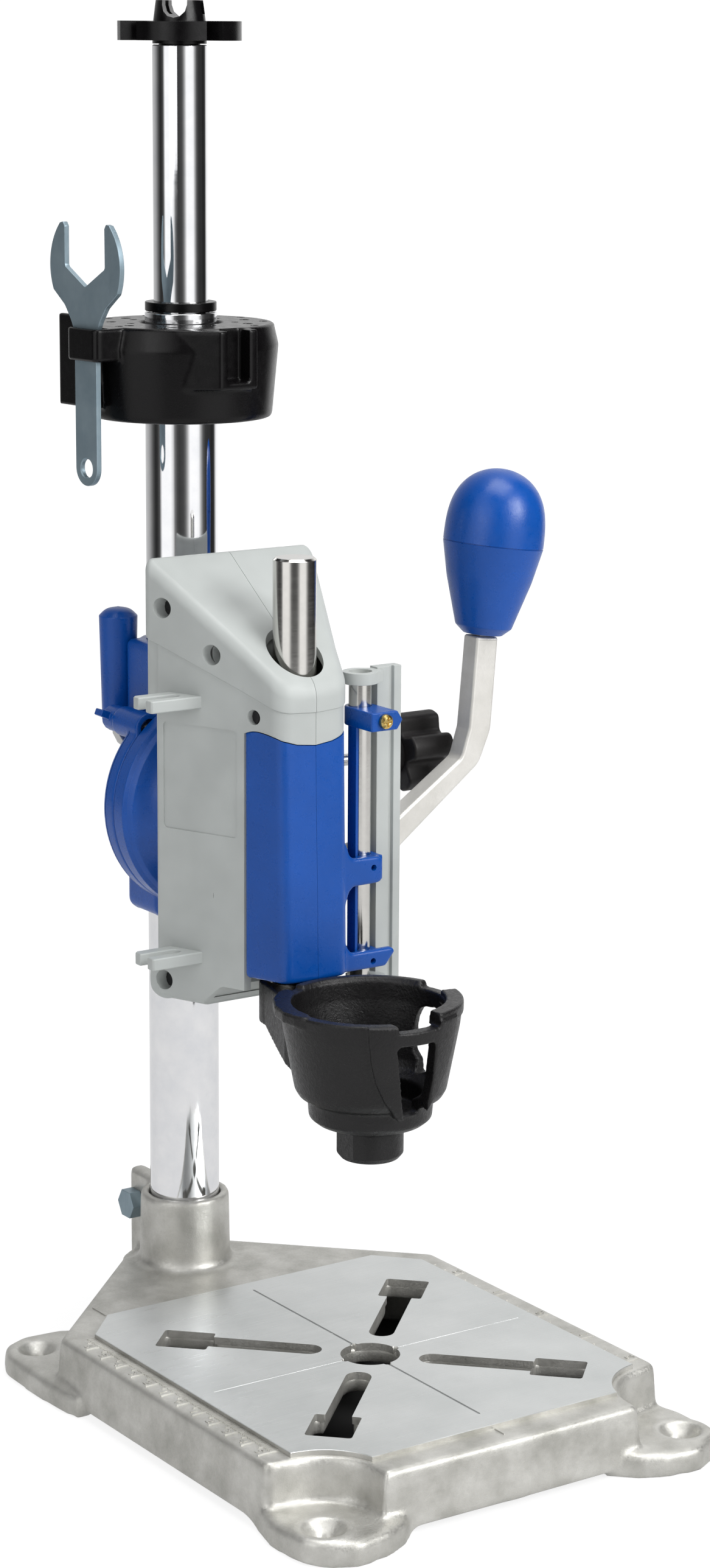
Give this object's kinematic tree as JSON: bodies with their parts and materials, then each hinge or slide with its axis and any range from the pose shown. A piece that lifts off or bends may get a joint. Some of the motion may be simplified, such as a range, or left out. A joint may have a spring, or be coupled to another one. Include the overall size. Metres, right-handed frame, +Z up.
{
  "type": "drill stand",
  "caption": "Bench drill stand: slotted cast table, two-part column, tilting head with lever and rack feed, tool cup, depth stop, bit tray and hanger cap.",
  "frame": {"origin": "column axis at bench level", "axes": "+Z up, +Y to the back, +X to the lever side"},
  "size_m": [0.1995, 0.2519, 0.4792],
  "materials": {
    "cast_aluminium": "cast, sparkling",
    "chrome": "bright",
    "steel": "brushed",
    "zinc_steel": "zinc plated",
    "brass": "plain",
    "bronze": "sintered",
    "blue_plastic": "satin",
    "grey_plastic": "satin",
    "black_plastic": "grained"
  },
  "bodies": {
    "base": {"base_casting": "cast_aluminium", "collar_bolt": "zinc_steel", "lower_tube": "chrome", "tube_ring": "black_plastic"},
    "mast": {"upper_tube": "chrome", "hanger_cap": "black_plastic"},
    "tray": {"tool_tray": "black_plastic"},
    "wrench": {"wrench": "zinc_steel"},
    "carrier": {"column_bracket": "blue_plastic", "clamp_nut": "zinc_steel", "index_spring": "steel"},
    "clamp_handle": {"clamp_rod": "steel", "clamp_grip": "blue_plastic"},
    "index_plunger": {"index_pin": "steel", "index_cap": "blue_plastic"},
    "head": {"tilt_disc": "blue_plastic", "pivot_bolt": "steel", "housing_left": "grey_plastic", "housing_right": "grey_plastic", "housing_screw_1": "zinc_steel", "housing_screw_2": "zinc_steel", "housing_screw_3": "zinc_steel", "housing_screw_4": "zinc_steel", "quill_bush_top": "bronze", "quill_bush_low": "bronze", "body_left": "blue_plastic", "body_right": "blue_plastic", "feed_spring": "steel"},
    "lock": {"lock_screw": "steel", "lock_knob": "black_plastic"},
    "feed": {"pinion": "steel", "feed_lever": "cast_aluminium", "lever_bolt": "zinc_steel", "lever_knob": "blue_plastic"},
    "quill": {"quill_rod": "steel", "guide_rod": "steel", "depth_rail": "grey_plastic", "tool_cup": "black_plastic"},
    "nose": {"nose_cap": "black_plastic"},
    "depth_stop": {"stop_clamp": "blue_plastic", "stop_screw": "brass"}
  },
  "joints": [
    {"name": "mast_slide", "type": "slide", "parent": "base", "child": "mast", "axis": [0, 0, 1], "range_m": [0, 0.12]},
    {"name": "tray_turn", "type": "hinge", "parent": "base", "child": "tray", "pos_m": [0, 0, 0.35], "axis": [0, 0, 1], "range_deg": [-75, 75]},
    {"name": "wrench_lift", "type": "slide", "parent": "tray", "child": "wrench", "axis": [0, 0, 1], "range_m": [0, 0.07]},
    {"name": "carrier_slide", "type": "slide", "parent": "base", "child": "carrier", "axis": [0, 0, 1], "range_m": [-0.05, 0.03]},
    {"name": "clamp_turn", "type": "hinge", "parent": "carrier", "child": "clamp_handle", "pos_m": [0, 0.0185, 0.216], "axis": [1, 0, 0], "range_deg": [-60, 0]},
    {"name": "index_pull", "type": "slide", "parent": "carrier", "child": "index_plunger", "axis": [0, 1, 0], "range_m": [0, 0.0036], "stiffness_N_per_m": 600, "springref_m": -0.004},
    {"name": "head_tilt", "type": "hinge", "parent": "carrier", "child": "head", "pos_m": [0, -0.025, 0.2007], "axis": [0, 1, 0], "range_deg": [0, 90]},
    {"name": "lock_turn", "type": "hinge", "parent": "head", "child": "lock", "pos_m": [0, -0.0277, 0.211], "axis": [1, 0, 0], "range_deg": [-90, 0]},
    {"name": "feed_turn", "type": "hinge", "parent": "head", "child": "feed", "pos_m": [0, -0.0535, 0.177], "axis": [1, 0, 0], "range_deg": [0, 174]},
    {"name": "quill_feed", "type": "slide", "parent": "head", "child": "quill", "axis": [0, 0, -1], "range_m": [0, 0.043]},
    {"name": "nose_turn", "type": "hinge", "parent": "quill", "child": "nose", "pos_m": [0, -0.121, 0.1], "axis": [0, 0, 1], "continuous": true},
    {"name": "stop_slide", "type": "slide", "parent": "quill", "child": "depth_stop", "axis": [0, 0, 1], "range_m": [-0.035, 0.005]}
  ],
  "couplings": [
    {"joint": "quill_feed", "follows": "feed_turn", "m_per_rad": 0.014}
  ]
}
